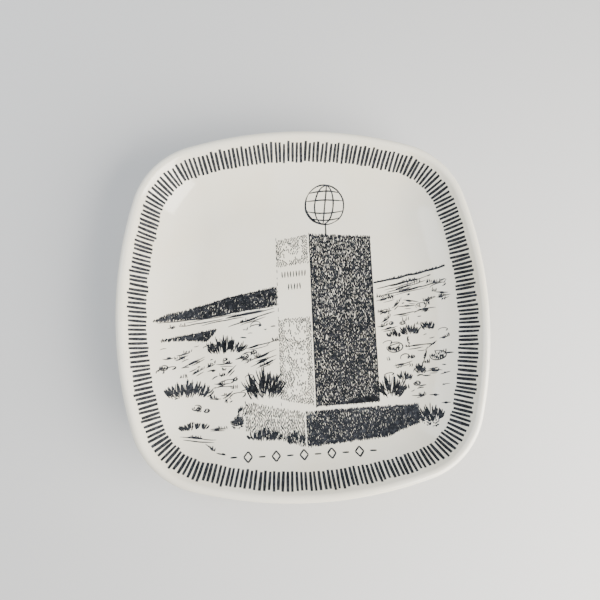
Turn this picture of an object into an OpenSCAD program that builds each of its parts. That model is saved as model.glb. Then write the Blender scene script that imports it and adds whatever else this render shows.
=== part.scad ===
// Souvenir plate: a square earthenware dish with bowed sides, a glaze coat, a pen-stroke border and a
// pen-and-ink picture of a stone waymark in a fell landscape. The plate stands on its foot ring at z = 0,
// centred on the origin, with the top of the picture towards +Y.

/* [Plate] */
// Width of the plate, from the middle of one side to the middle of the other
plate_w = 170; // [168:1:180]
// Height of the rim above the surface that the foot stands on
plate_h = 26; // [25:0.5:27]
// Radius of the corners, seen from above
corner_r = 37; // [37:2:45]

/* [Wall] */
// Thickness of the wall and the floor, glaze included
wall_t = 4.4; // [3.8:0.1:4.8]
// Distance from the plate's edge in to the flat of the floor
floor_inset = 35; // [34:0.5:36]
// Thickness of the glaze coat
glaze_t = 0.25; // [0.15:0.05:0.4]

/* [Foot ring] */
// Height of the floor's underside above the standing surface
foot_h = 3.6; // [3.4:0.1:4.2]
// Distance from the plate's edge in to the ring's outer face
foot_inset = 26; // [24:1:28]
// Width of the ring
foot_w = 4.5; // [4:0.5:6]
// Chamfer along the ring's bearing edge
foot_chamfer = 0.8; // [0.4:0.1:1]
// Radius of each hanging hole
hole_r = 1; // [0.7:0.1:1.2]
// Distance between the two hanging holes
hole_gap = 40; // [30:1:60]
// Height of the hanging holes above the standing surface
hole_z = 2; // [1.9:0.1:2.2]

/* [Border] */
// Distance from one border stroke to the next
stroke_pitch = 2.04; // [1.8:0.02:2.6]
// Width of a border stroke
stroke_w = 1.1; // [0.6:0.1:1.2]
// Distance from the plate's edge in to the strokes' outer ends, seen from above
stroke_inset = 5; // [4:0.1:5.5]
// Length of a border stroke, seen from above
stroke_len = 6.8; // [5:0.1:8]

/* [Picture] */
// Thickness of the fired ink
ink_t = 0.08; // [0.05:0.01:0.1]
// Width of a pen line
pen_w = 0.5; // [0.4:0.1:0.8]
// Where the pillar's front arris stands, across the plate
arris_x = 4; // [0:0.5:6]
// Height at which the pillar meets the plinth, up the plate
pillar_foot = -45; // [-46:0.5:-43]
// Height of the drawn pillar
pillar_h = 83.5; // [70:0.5:84]
// Width of the pillar's dark face
dark_w = 30.5; // [26:0.5:32]
// Width of the pillar's light face
light_w = 16.5; // [12:0.5:18]
// Radius of the drawn globe
globe_r = 9.8; // [8:0.2:10]

/* [Hidden] */
$fn = 96;

// Plan outline: four bowed sides and four corners, as tangent arcs.
half_w = plate_w / 2;
// The arcs meet on radii that run 7 across for 24 up, so a 7-24-25 triangle gives every centre.
arc_unit = (half_w - corner_r) / 8;
corner_at = 7 * arc_unit;
side_centre = 17 * arc_unit;
side_r = half_w + side_centre;
side_half = atan2(7, 24);
corner_span = 90 - 2 * side_half;
past_edge = [7, 24] * 3;

// Section: a flat floor, one cove that is the whole wall, and a full round lip. Its x is the inset from the
// edge. The cove's radius is to the nearest hundredth, so that all its surfaces meet exactly.
floor_z = foot_h + wall_t;
lip_r = wall_t / 2;
lip_run = floor_inset - lip_r;
lip_rise = plate_h - lip_r - floor_z;
cove_r = round(50 * (lip_run ^ 2 + lip_rise ^ 2 - lip_r ^ 2) / (lip_rise + lip_r)) / 100;
cove_z = floor_z + cove_r;
cove_turn = asin(lip_run / (cove_r + lip_r));

// Picture places, in millimetres from the plate's centre, worked out from the pillar.
pillar_top = pillar_foot + pillar_h;
dark_edge = arris_x + dark_w;
light_edge = arris_x - light_w;
lean = 0.06;
panel_top = pillar_top - 16;
panel_low = panel_top - 26;
plinth_lip = pillar_foot - 3;
plinth_drop = 15;
plinth_rise = 6;
plinth_arris = arris_x - 5;
plinth_left = light_edge - 17;
plinth_right = dark_edge + 18;
globe_at = [arris_x + 8.5, pillar_top + 14.8];
ground_left = -71;

// Tufts of grass: foot across, foot up, width and height.
tufts = [[-38, -19, 16, 8], [-61, -39, 7, 8], [-52, -39, 11, 8], [-20.5, -41, 14, 15], [-53, -53.5, 13, 3],
    [-21, -60, 15, 5], [-6, -62, 7, 5], [40.5, -43, 8, 12], [47, -35, 5, 4], [43.5, -14, 6, 3],
    [51.5, -13, 8, 5], [60, -11, 5, 4], [55, -32, 3, 5], [58, -54, 8, 7]];
// Stones: centre across, centre up and radius.
rocks = [[-29.5, -20.5, 2], [-38.5, -21.5, 1], [-25, -18.5, 1.3], [-34, -31, 1.2], [-52, -43.5, 2],
    [-47.5, -45, 1.2], [-66.5, -24.5, 1.8], [-33.5, -50.5, 3], [43.5, -18.8, 4], [63.5, -23.5, 3.5],
    [53, -36.5, 1.6], [46.5, -38.6, 1.4], [42.5, -7, 1], [48, -7, 1.3], [52, 7, 0.7]];
// Ground lines: start across, start up, length and rise in degrees.
contours = [[-69, -4, 56, 7.4], [-60, -5.5, 47, 9.5], [-65, -6, 4, 4], [-37, -6.5, 24.5, 18],
    [-29.5, -17, 16, 13], [-30, -24, 18, 21], [-27, -25.5, 14, 21], [-24, -26.6, 11.5, 25],
    [-47.5, -25, 4.5, 22], [-43, -23.5, 9, 1], [-41.5, -29.3, 2.5, 0], [-38.5, -29.2, 8, 43],
    [-67, -20.3, 5, 6], [-61, -19.3, 7, 16], [-59.3, -25, 13, 24], [-54.6, -28.2, 7, 24], [-47, -27, 4.5, 6],
    [-44, -33, 8, 1], [-46, -39.8, 5.5, -3], [-40, -40, 6.5, 36], [-46, -53.2, 8, -4], [-59, -55.6, 17, -9],
    [-48, -59.6, 5.5, -37], [-43, -63.4, 5, -16], [36.2, 9.8, 27, 13], [41.5, 8.3, 20, 15],
    [35.5, 5.8, 34, 11.8], [35.5, 4, 10, 11], [43, 0, 6.5, 40], [49, 4.2, 8, -10], [46.5, 0.8, 9, 4],
    [58.5, 3, 5.5, 14], [64.5, 7.3, 6, -8], [65, 4.4, 6, 12], [37, -2.8, 5.5, 22], [37.5, -6.6, 6, 30],
    [43.5, -3.4, 12, 8], [56, -0.8, 8.5, 2], [35.5, -8.6, 5, 6], [36.8, -10.5, 9, 13], [50, -13.6, 4, -83],
    [48.2, -18.9, 12, 6], [57, -26, 5.5, 72], [59.3, -20, 5.5, 40], [64.5, -15.6, 4.5, 12],
    [42, -28, 10.5, 14], [49, -23.8, 4, -6], [57.5, -31, 8, 2], [50, -42.3, 7, 2], [58, -42, 4.5, -4],
    [62.5, -46, 4, 3]];

// Carries a section along the four sides: a full ring about each side's centre, cut to the side's wedge.
module sweep_sides() {
    for (turn = [0:90:270]) rotate(turn) intersection() {
        translate([0, -side_centre, 0]) rotate_extrude()
            translate([side_r, 0]) mirror([1, 0]) children();
        linear_extrude(plate_h + 1) side_wedge();
    }
}

// Carries a section round the four corners in the same way.
module sweep_corners() {
    for (turn = [0:90:270]) rotate(turn) intersection() {
        translate([corner_at, corner_at, 0]) rotate_extrude()
            translate([corner_r, 0]) mirror([1, 0]) children();
        linear_extrude(plate_h + 1) corner_wedge();
    }
}

module sweep_wall() {
    sweep_sides() children();
    sweep_corners() children();
}

module side_wedge() {
    tip = [corner_at, corner_at] + past_edge;
    polygon([[0, 0], [corner_at, corner_at], tip, [-tip[0], tip[1]], [-corner_at, corner_at]]);
}

module corner_wedge() {
    tip = [corner_at, corner_at] + past_edge;
    polygon([[corner_at, corner_at], tip, [tip[1], tip[0]]]);
}

// The plan outline, moved in by inset.
module outline(inset) {
    for (turn = [0:90:270]) rotate(turn) {
        intersection() {
            translate([0, -side_centre]) circle(side_r - inset);
            side_wedge();
        }
        intersection() {
            translate([corner_at, corner_at]) circle(corner_r - inset);
            corner_wedge();
        }
    }
}

// A band of the section that keeps between two distances from the face, from the flat floor to the lip.
module face_band(near, far) {
    reach = cove_r + wall_t + 1;
    translate([floor_inset, cove_z]) intersection() {
        difference() {
            circle(cove_r + far);
            circle(cove_r + near);
        }
        translate([-reach, -reach]) square(reach);
        rotate(-cove_turn) translate([0, -reach]) square([reach, 2 * reach]);
    }
}

// The whole wall, with every surface moved in by skin.
module wall_section(skin) {
    face_band(skin, wall_t - skin);
    translate([floor_inset, cove_z]) rotate(-cove_turn) translate([0, -cove_r - lip_r]) intersection() {
        circle(lip_r - skin);
        translate([-wall_t, -wall_t]) square([wall_t, 2 * wall_t]);
    }
}

// A film of ink that lies on the glaze within a plan shape.
module film() {
    intersection() {
        union() {
            sweep_wall() face_band(-ink_t, 0);
            translate([0, 0, floor_z]) linear_extrude(ink_t) outline(floor_inset);
        }
        translate([0, 0, foot_h]) linear_extrude(plate_h) children();
    }
}

// A straight pen line from a start point, with its length and its rise in degrees.
module pen_line(start, length, rise) {
    translate(start) rotate(rise) translate([0, -pen_w / 2]) square([length, pen_w]);
}

module biscuit_body() {
    color("linen") {
        sweep_wall() wall_section(glaze_t);
        translate([0, 0, foot_h + glaze_t]) linear_extrude(wall_t - 2 * glaze_t) outline(floor_inset);
    }
}

// The foot ring's section, with chamfered edges below and a top that follows the underside of the cove.
module foot_section() {
    difference() {
        translate([foot_inset, 0]) polygon([[0, floor_z], [0, foot_chamfer], [foot_chamfer, 0],
            [foot_w - foot_chamfer, 0], [foot_w, foot_chamfer], [foot_w, floor_z]]);
        translate([floor_inset, cove_z]) circle(cove_r + wall_t - glaze_t);
    }
}

// The foot ring along the sides, where two holes at the top of the picture take a hanging wire.
module foot_sides() {
    hole_len = foot_w + 4;
    color("linen") difference() {
        sweep_sides() foot_section();
        for (side = [-1, 1]) translate([side * hole_gap / 2, half_w - foot_inset + 1, hole_z])
            rotate([90, 0, 0]) cylinder(r = hole_r, h = hole_len);
    }
}

module foot_corners() {
    color("linen") sweep_corners() foot_section();
}

// The coat on the floor, the wall, the lip and the outside down to the foot ring.
module face_glaze() {
    color("ivory") {
        sweep_wall() difference() {
            wall_section(0);
            wall_section(glaze_t);
            translate([foot_inset, 0]) square([foot_inset, floor_z - wall_t / 2]);
        }
        translate([0, 0, floor_z - glaze_t]) linear_extrude(glaze_t) outline(floor_inset);
    }
}

// The coat on the underside, inside the foot ring.
module base_glaze() {
    color("ivory") {
        sweep_wall() intersection() {
            face_band(wall_t - glaze_t, wall_t);
            translate([foot_inset + foot_w, 0]) square([foot_inset, floor_z]);
        }
        translate([0, 0, foot_h]) linear_extrude(glaze_t) outline(floor_inset);
    }
}

// Strokes side by side along one arc of the border.
module stroke_run(arc_r, span) {
    middle_r = arc_r - stroke_inset - stroke_len / 2;
    count = round(middle_r * span * PI / 180 / stroke_pitch);
    wide = stroke_w / middle_r * 180 / PI;
    for (i = [0:count - 1]) rotate((i + 0.5) * span / count - wide / 2)
        rotate_extrude(angle = wide) translate([arc_r, 0]) mirror([1, 0]) intersection() {
            face_band(-ink_t, 0);
            translate([stroke_inset, 0]) square([stroke_len, plate_h]);
        }
}

module border_strokes() {
    color("black") for (turn = [0:90:270]) rotate(turn) {
        translate([0, -side_centre, 0]) rotate(90 - side_half) stroke_run(side_r, 2 * side_half);
        translate([corner_at, corner_at, 0]) rotate(side_half) stroke_run(corner_r, corner_span);
    }
}

// The globe's rim, two upright bows and three level wires, seen a little from the side.
module globe_wires() {
    color("black") film() translate(globe_at) {
        difference() {
            circle(globe_r);
            circle(globe_r - pen_w);
        }
        intersection() {
            circle(globe_r - pen_w / 2);
            union() {
                for (level = [-0.5, 0, 0.5]) translate([0, level * globe_r])
                    square([2 * globe_r, pen_w], center = true);
                for (bow = [-1, 1]) translate([bow * globe_r * 1.5, 0]) difference() {
                    circle(globe_r * 1.8);
                    circle(globe_r * 1.8 - pen_w);
                }
            }
        }
    }
}

module globe_stem() {
    stem_h = globe_at[1] - globe_r - pillar_top;
    color("black") film() translate([globe_at[0] - pen_w / 2, pillar_top]) square([pen_w, stem_h]);
}

module pillar_dark_face() {
    color("dimgray") film() polygon([[arris_x, pillar_foot], [arris_x, pillar_top],
        [dark_edge, pillar_top - lean * dark_w], [dark_edge, pillar_foot + lean * dark_w / 2]]);
}

// The stippled stone above and below the bare panel.
module pillar_light_face() {
    color("silver") film() {
        polygon([[light_edge, panel_top], [light_edge, pillar_top - 3], [arris_x - 1, pillar_top],
            [arris_x - 1, panel_top + 2]]);
        polygon([[light_edge, pillar_foot + 3.5], [light_edge, panel_low], [arris_x - 1, panel_low + 1],
            [arris_x - 1, pillar_foot + 0.5]]);
    }
}

// Two rows of plain upright ticks on the bare panel.
module panel_ticks() {
    color("black") film() for (row = [0, 1]) {
        count = 9 - 4 * row;
        for (i = [0:count - 1])
            translate([light_edge + 2.5 + 3 * row + i * 1.4, panel_top - 4 - 6 * row + 0.1 * i])
                square([pen_w, 3], center = true);
    }
}

module plinth_dark_face() {
    color("dimgray") film() polygon([[plinth_arris, plinth_lip], [plinth_right, plinth_lip + 1.5],
        [plinth_right, plinth_lip - 6], [plinth_right - 16, plinth_lip - 12],
        [plinth_arris, plinth_lip - plinth_drop]]);
}

module plinth_light_face() {
    color("silver") film() polygon([[plinth_left, plinth_lip + plinth_rise],
        [plinth_arris - 1, plinth_lip], [plinth_arris - 1, plinth_lip - plinth_drop],
        [plinth_left, plinth_lip - plinth_drop + 1.4 * plinth_rise]]);
}

// The far fell beside the pillar and the low spur under it.
module distant_hill() {
    color("dimgray") film() {
        polygon([[ground_left, -3], [-65, 0], [-50, 4], [-36, 8], [light_edge - 0.5, 12.4],
            [light_edge - 0.5, 4], [-38, 0.5], [-52, -1]]);
        polygon([[ground_left + 3, -12], [-42, -7], [-47, -12.5], [-56, -11.5]]);
    }
}

module horizon_line() {
    color("black") film() pen_line([dark_edge + 0.5, 13.2], 35, 10.5);
}

// Long lines that fan out from the pillar on both sides, and short contours below them.
module ground_lines() {
    color("black") film() difference() {
        for (c = contours) pen_line([c[0], c[1]], c[2], c[3]);
        tuft_shapes();
        stone_shapes();
    }
}

module tuft_shapes() {
    for (t = tufts) translate([t[0], t[1]])
        polygon([[-t[2] / 2, 0], [-t[2] / 2, t[3] / 2], [0, t[3]], [t[2] / 2, t[3] / 2], [t[2] / 2, 0]]);
}

module grass_tufts() {
    color("black") film() difference() {
        tuft_shapes();
        stone_shapes();
    }
}

module stone_shapes() {
    for (s = rocks) translate([s[0], s[1]]) circle(s[2]);
}

module stones() {
    color("dimgray") film() stone_shapes();
}

// A row of lozenges and dashes in the place of a caption.
module ornament_row() {
    color("black") film() for (i = [-5:5]) translate([6.4 * i - 3, -66.5 + 0.02 * i ^ 2])
        if (i % 2 == 0) difference() {
            polygon([[-1.9, 0], [0, 2.2], [1.9, 0], [0, -2.2]]);
            polygon([[-1.2, 0], [0, 1.4], [1.2, 0], [0, -1.4]]);
        } else square([3, pen_w], center = true);
}

biscuit_body();
foot_sides();
foot_corners();
face_glaze();
base_glaze();
border_strokes();
globe_wires();
globe_stem();
pillar_dark_face();
pillar_light_face();
panel_ticks();
plinth_dark_face();
plinth_light_face();
distant_hill();
horizon_line();
ground_lines();
grass_tufts();
stones();
ornament_row();
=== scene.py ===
import math
import random

import bpy
import numpy as np
from mathutils import Matrix, Vector, noise


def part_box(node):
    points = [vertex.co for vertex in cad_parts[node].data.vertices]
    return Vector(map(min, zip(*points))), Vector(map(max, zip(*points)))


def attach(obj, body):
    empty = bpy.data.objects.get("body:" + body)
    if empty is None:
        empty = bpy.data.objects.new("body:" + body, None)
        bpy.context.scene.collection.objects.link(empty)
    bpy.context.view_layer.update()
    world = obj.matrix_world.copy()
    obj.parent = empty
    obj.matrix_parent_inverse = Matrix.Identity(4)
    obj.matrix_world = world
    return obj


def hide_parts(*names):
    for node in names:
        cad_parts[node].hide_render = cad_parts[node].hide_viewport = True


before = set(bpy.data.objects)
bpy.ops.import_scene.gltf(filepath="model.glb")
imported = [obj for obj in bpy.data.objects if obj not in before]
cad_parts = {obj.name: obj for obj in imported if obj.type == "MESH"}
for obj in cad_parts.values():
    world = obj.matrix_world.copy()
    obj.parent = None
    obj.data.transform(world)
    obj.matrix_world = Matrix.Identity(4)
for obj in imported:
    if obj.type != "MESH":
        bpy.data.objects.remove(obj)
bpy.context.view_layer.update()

bl_info = {
    "name": "Souvenir plate",
    "version": (1, 0, 0),
    "blender": (4, 5, 0),
    "location": "View3D > Sidebar > Plate",
    "description": "Glazes a square souvenir dish and draws its border and its pen-and-ink picture",
    "category": "Add Mesh",
}

MM = 0.001
WELD = MM / 500
GLAZE = "glaze_coat"
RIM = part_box("face_glaze")[1]
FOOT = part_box("foot_sides")
FLOOR_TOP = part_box("pillar_dark_face")[0].z
FLOOR_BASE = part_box("base_glaze")[0].z


class DishSizes(bpy.types.PropertyGroup):
    """Sizes of the glazed dish."""
    half_width: bpy.props.FloatProperty(
        name="Half width", description="From the plate's middle to the middle of a side",
        default=RIM.x, unit="LENGTH")
    rim_height: bpy.props.FloatProperty(
        name="Rim height", description="Top of the lip above the table", default=RIM.z, unit="LENGTH")
    corner_radius: bpy.props.FloatProperty(
        name="Corner radius", description="Radius of the corners seen from above",
        default=37 * MM, unit="LENGTH")
    floor_inset: bpy.props.FloatProperty(
        name="Floor inset", description="From the edge in to the flat floor", default=35 * MM, unit="LENGTH")
    floor_height: bpy.props.FloatProperty(
        name="Floor height", description="Top of the floor above the table",
        default=FLOOR_TOP, unit="LENGTH")
    wall: bpy.props.FloatProperty(
        name="Wall", description="Thickness of the wall with its glaze",
        default=FLOOR_TOP - FLOOR_BASE, unit="LENGTH")
    coat: bpy.props.FloatProperty(
        name="Glaze coat", description="Thickness of the glaze", default=0.25 * MM, unit="LENGTH")
    foot_outside: bpy.props.FloatProperty(
        name="Foot outside", description="From the edge in to the ring's outer face",
        default=RIM.x - FOOT[1].x, unit="LENGTH")
    foot_width: bpy.props.FloatProperty(
        name="Foot width", description="Width of the foot ring", default=4.5 * MM, unit="LENGTH")
    pool_outside: bpy.props.FloatProperty(
        name="Outer pool", description="Radius of the glaze pooled against the ring's outside",
        default=1.2 * MM, unit="LENGTH")
    pool_inside: bpy.props.FloatProperty(
        name="Inner pool", description="Radius of the glaze pooled against the ring's inside",
        default=0.6 * MM, unit="LENGTH")


class PenSizes(bpy.types.PropertyGroup):
    """Sizes of the pens that drew the border and the picture."""
    ink: bpy.props.FloatProperty(
        name="Ink", description="How far the fired ink stands above the glaze",
        default=0.035 * MM, unit="LENGTH")
    border: bpy.props.FloatProperty(
        name="Border pen", description="Width of a border stroke", default=1.35 * MM, unit="LENGTH")
    line: bpy.props.FloatProperty(
        name="Line pen", description="Width of a picture line", default=0.6 * MM, unit="LENGTH")
    hatch: bpy.props.FloatProperty(
        name="Hatching pen", description="Width of a hatching stroke", default=0.58 * MM, unit="LENGTH")
    stipple: bpy.props.FloatProperty(
        name="Stippling pen", description="Width of a stippling mark", default=0.54 * MM, unit="LENGTH")
    tilt: bpy.props.FloatProperty(
        name="Border tilt", description="How far a border stroke leans either way",
        default=math.radians(3.5), subtype="ANGLE")
    marks: bpy.props.IntProperty(
        name="Loose marks", description="Number of small marks strewn over the ground", default=130)
    seed: bpy.props.IntProperty(name="Seed", description="Seed of the hand's unevenness", default=7)


class Finishes(bpy.types.PropertyGroup):
    """Colours of the fired materials and the table."""
    glaze: bpy.props.FloatVectorProperty(
        name="Glaze", description="Off-white of the glaze", size=3, subtype="COLOR",
        default=(0.87, 0.835, 0.71))
    clay: bpy.props.FloatVectorProperty(
        name="Clay", description="Bare fired clay", size=3, subtype="COLOR", default=(0.62, 0.53, 0.41))
    ink: bpy.props.FloatVectorProperty(
        name="Ink", description="Fired black ink", size=3, subtype="COLOR", default=(0.012, 0.014, 0.018))
    table: bpy.props.FloatVectorProperty(
        name="Table", description="The pale floor", size=3, subtype="COLOR", default=(0.62, 0.62, 0.61))


class StageSizes(bpy.types.PropertyGroup):
    """Camera and lights."""
    camera_at: bpy.props.FloatVectorProperty(
        name="Camera", description="Where the camera is", size=3, subtype="TRANSLATION",
        default=(-17.6 * MM, -29.2 * MM, 250.6 * MM))
    aim: bpy.props.FloatVectorProperty(
        name="Aim", description="Where the camera looks", size=3, subtype="TRANSLATION",
        default=(-1.2 * MM, 7.0 * MM, 0.0))
    roll: bpy.props.FloatProperty(
        name="Roll", description="Turn of the camera's top from the picture's top",
        default=math.radians(2.36), subtype="ANGLE")
    lens: bpy.props.FloatProperty(
        name="Lens", description="Focal length on a 36 mm sensor, in millimetres", default=30.23)
    key_at: bpy.props.FloatVectorProperty(
        name="Key place", description="Where the key light is", size=3, subtype="TRANSLATION",
        default=(0.42, -0.26, 0.27))
    fill_at: bpy.props.FloatVectorProperty(
        name="Fill place", description="Where the fill light is", size=3, subtype="TRANSLATION",
        default=(-0.5, 0.35, 0.55))
    key_watts: bpy.props.FloatProperty(
        name="Key", description="Power of the key light in watts", default=13.0, min=0.0)
    sky: bpy.props.FloatProperty(
        name="Sky", description="Brightness of the room", default=0.58, min=0.0)


# ---------------------------------------------------------------- node trees

def add_node(tree, kind, inputs=None, **settings):
    """Adds a node, sets its properties, and links or sets its inputs by name or number."""
    node = tree.nodes.new(kind)
    for key, value in settings.items():
        setattr(node, key, value)
    for key, value in (inputs or {}).items():
        socket = node.inputs[key]
        if isinstance(value, bpy.types.NodeSocket):
            tree.links.new(value, socket)
        else:
            socket.default_value = value
    return node


def math_node(tree, operation, *values):
    node = add_node(tree, "ShaderNodeMath", dict(enumerate(values)), operation=operation)
    return node.outputs[0]


def vector_of(tree, x=0.0, y=0.0, z=0.0):
    return add_node(tree, "ShaderNodeCombineXYZ", {"X": x, "Y": y, "Z": z}).outputs[0]


def new_tree(name, inputs):
    """A geometry tree with a geometry input and output and the named inputs, as (tree, sockets, end)."""
    tree = bpy.data.node_groups.new(name, "GeometryNodeTree")
    tree.interface.new_socket("Geometry", in_out="INPUT", socket_type="NodeSocketGeometry")
    for label, kind in inputs.items():
        tree.interface.new_socket(label, in_out="INPUT", socket_type="NodeSocket" + kind)
    tree.interface.new_socket("Geometry", in_out="OUTPUT", socket_type="NodeSocketGeometry")
    start = tree.nodes.new("NodeGroupInput")
    end = tree.nodes.new("NodeGroupOutput")
    return tree, start.outputs, end


def end_tree(tree, end, geometry, material=None):
    """Ends a tree with its instances made real and its material set."""
    real = add_node(tree, "GeometryNodeRealizeInstances", {"Geometry": geometry}).outputs[0]
    if material is not None:
        real = add_node(tree, "GeometryNodeSetMaterial", {"Geometry": real, "Material": material}).outputs[0]
    tree.links.new(real, end.inputs[0])


def apply_tree(piece, tree, **values):
    """Runs a tree on a piece that isn't in the scene yet, and leaves the result as a plain mesh."""
    modifier = piece.modifiers.new(tree.name, "NODES")
    modifier.node_group = tree
    for item in tree.interface.items_tree:
        if item.in_out == "INPUT" and item.name in values:
            modifier[item.identifier] = values[item.name]
    bpy.context.scene.collection.objects.link(piece)
    graph = bpy.context.evaluated_depsgraph_get()
    mesh = bpy.data.meshes.new_from_object(piece.evaluated_get(graph), depsgraph=graph)
    piece.modifiers.remove(modifier)
    old = piece.data
    piece.data = mesh
    bpy.data.meshes.remove(old)
    if not mesh.polygons:
        raise RuntimeError(piece.name + " came out empty")
    mesh.materials.clear()
    mesh.materials.append(values.get("Material", ink_material()))
    mesh.polygons.foreach_set("material_index", [0] * len(mesh.polygons))
    return piece


def sweep_tree():
    """Sweeps a section round the plate's outline of four side arcs and four corner arcs.

    The arcs meet on radii that run 7 across for 24 up, so every centre is a whole number of one unit away.
    The section is a chain of edges with the inset from the edge along -X and the height along -Y. Where it
    ends at the flat floor, the floor is closed by rings that shrink to the middle. Both kinds of arc turn by
    about the same angle a step, so that the section stays square to the outline where they meet."""
    tree, given, end = new_tree("sweep_round_outline", {
        "Half Width": "Float", "Corner Radius": "Float", "Corner Points": "Int", "Side Points": "Int",
        "Material": "Material"})
    half_width, corner_radius = given["Half Width"], given["Corner Radius"]
    unit = math_node(tree, "DIVIDE", math_node(tree, "SUBTRACT", half_width, corner_radius), 8.0)
    corner_at = math_node(tree, "MULTIPLY", unit, 7.0)
    side_centre = math_node(tree, "MULTIPLY", unit, 17.0)
    side_radius = math_node(tree, "ADD", half_width, side_centre)
    half_turn = math.atan2(7, 24)
    side = add_node(tree, "GeometryNodeCurveArc", {
        "Resolution": given["Side Points"], "Radius": side_radius,
        "Start Angle": math.pi / 2 - half_turn, "Sweep Angle": 2 * half_turn}).outputs["Curve"]
    corner = add_node(tree, "GeometryNodeCurveArc", {
        "Resolution": given["Corner Points"], "Radius": corner_radius,
        "Start Angle": half_turn, "Sweep Angle": math.pi / 2 - 2 * half_turn}).outputs["Curve"]
    side = add_node(tree, "GeometryNodeTransform", {
        "Geometry": side, "Translation": vector_of(tree, y=math_node(tree, "MULTIPLY", side_centre, -1.0))})
    corner = add_node(tree, "GeometryNodeTransform", {
        "Geometry": corner, "Translation": vector_of(tree, x=corner_at, y=corner_at)})
    outline = tree.nodes.new("GeometryNodeJoinGeometry")
    for quarter in range(4):
        for arc in (side, corner):
            turned = add_node(tree, "GeometryNodeTransform", {
                "Geometry": arc.outputs[0], "Rotation": (0.0, 0.0, quarter * math.pi / 2)})
            tree.links.new(turned.outputs[0], outline.inputs[0])
    loop = add_node(tree, "GeometryNodeCurveToMesh", {"Curve": outline.outputs[0]})
    loop = add_node(tree, "GeometryNodeMergeByDistance", {"Geometry": loop.outputs[0], "Distance": WELD})
    loop = add_node(tree, "GeometryNodeMeshToCurve", {"Mesh": loop.outputs[0]})
    upright = add_node(tree, "GeometryNodeSetCurveNormal", {"Curve": loop.outputs[0]}, mode="Z_UP")
    section = add_node(tree, "GeometryNodeMeshToCurve", {"Mesh": given["Geometry"]})
    swept = add_node(tree, "GeometryNodeCurveToMesh", {
        "Curve": upright.outputs[0], "Profile Curve": section.outputs[0]})
    shell = add_node(tree, "GeometryNodeMergeByDistance", {"Geometry": swept.outputs[0], "Distance": WELD})
    mesh = shell.outputs[0]
    neighbours = tree.nodes.new("GeometryNodeInputMeshEdgeNeighbors").outputs[0]
    rim_edge = add_node(tree, "FunctionNodeCompare", {2: neighbours, 3: 1}, data_type="INT",
                        operation="EQUAL")
    selection = rim_edge.outputs[0]
    for shrink in (0.7, 0.6, 0.5, 0.0):
        ring = add_node(tree, "GeometryNodeExtrudeMesh", {
            "Mesh": mesh, "Selection": selection, "Offset Scale": 0.0}, mode="EDGES")
        selection = ring.outputs["Top"]
        position = tree.nodes.new("GeometryNodeInputPosition").outputs[0]
        smaller = add_node(tree, "ShaderNodeVectorMath", {0: position, 1: (shrink, shrink, 1.0)},
                           operation="MULTIPLY")
        mesh = add_node(tree, "GeometryNodeSetPosition", {
            "Geometry": ring.outputs["Mesh"], "Selection": selection,
            "Position": smaller.outputs[0]}).outputs[0]
    closed = add_node(tree, "GeometryNodeMergeByDistance", {"Geometry": mesh, "Distance": WELD})
    smooth = add_node(tree, "GeometryNodeSetShadeSmooth", {"Geometry": closed.outputs[0]})
    end_tree(tree, end, smooth.outputs[0], given["Material"])
    return tree


def lay_tree():
    """Lays flat strokes on the glaze below them.

    The lift attribute is 0 on a stroke's underside and 1 on its top."""
    tree, given, end = new_tree("lay_on_glaze", {"Glaze": "Object", "Ink": "Float"})
    glaze = add_node(tree, "GeometryNodeObjectInfo", {"Object": given["Glaze"]}).outputs["Geometry"]
    position = tree.nodes.new("GeometryNodeInputPosition").outputs[0]
    place = add_node(tree, "ShaderNodeSeparateXYZ", {"Vector": position}).outputs
    above = vector_of(tree, place["X"], place["Y"], 100 * MM)
    hit = add_node(tree, "GeometryNodeRaycast", {
        "Target Geometry": glaze, "Source Position": above, "Ray Direction": (0.0, 0.0, -1.0),
        "Ray Length": 200 * MM}).outputs
    lift = add_node(tree, "GeometryNodeInputNamedAttribute", {"Name": "lift"}, data_type="FLOAT").outputs[0]
    rise = math_node(tree, "SUBTRACT", math_node(tree, "MULTIPLY", lift, 2.0), 1.0)
    rise = math_node(tree, "MULTIPLY", rise, given["Ink"])
    push = add_node(tree, "ShaderNodeVectorMath", {0: hit["Hit Normal"], "Scale": rise}, operation="SCALE")
    laid = add_node(tree, "ShaderNodeVectorMath", {0: hit["Hit Position"], 1: push.outputs[0]},
                    operation="ADD")
    moved = add_node(tree, "GeometryNodeSetPosition", {
        "Geometry": given["Geometry"], "Position": laid.outputs[0]})
    tree.links.new(moved.outputs[0], end.inputs[0])
    return tree


def nest(tree, group, inputs):
    """Puts another tree into this one as a group, and returns its geometry."""
    return add_node(tree, "GeometryNodeGroup", inputs, node_tree=group).outputs[0]


def read_number(tree, name):
    return add_node(tree, "GeometryNodeInputNamedAttribute", {"Name": name}, data_type="FLOAT").outputs[0]


def store_number(tree, geometry, name, value):
    return add_node(tree, "GeometryNodeStoreNamedAttribute", {
        "Geometry": geometry, "Name": name, "Value": value}, data_type="FLOAT", domain="POINT").outputs[0]


def random_number(tree, low, high, seed, step):
    node = add_node(tree, "FunctionNodeRandomValue", {
        2: low, 3: high, "Seed": math_node(tree, "ADD", seed, float(step))}, data_type="FLOAT")
    return node.outputs[1]


def noise_at(tree, scale, detail, w):
    """Noise at the point's own place, from about 0 to 1."""
    position = tree.nodes.new("GeometryNodeInputPosition").outputs[0]
    return add_node(tree, "ShaderNodeTexNoise", {
        "Vector": position, "Scale": scale, "Detail": detail, "W": w}, noise_dimensions="4D").outputs[0]


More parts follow.
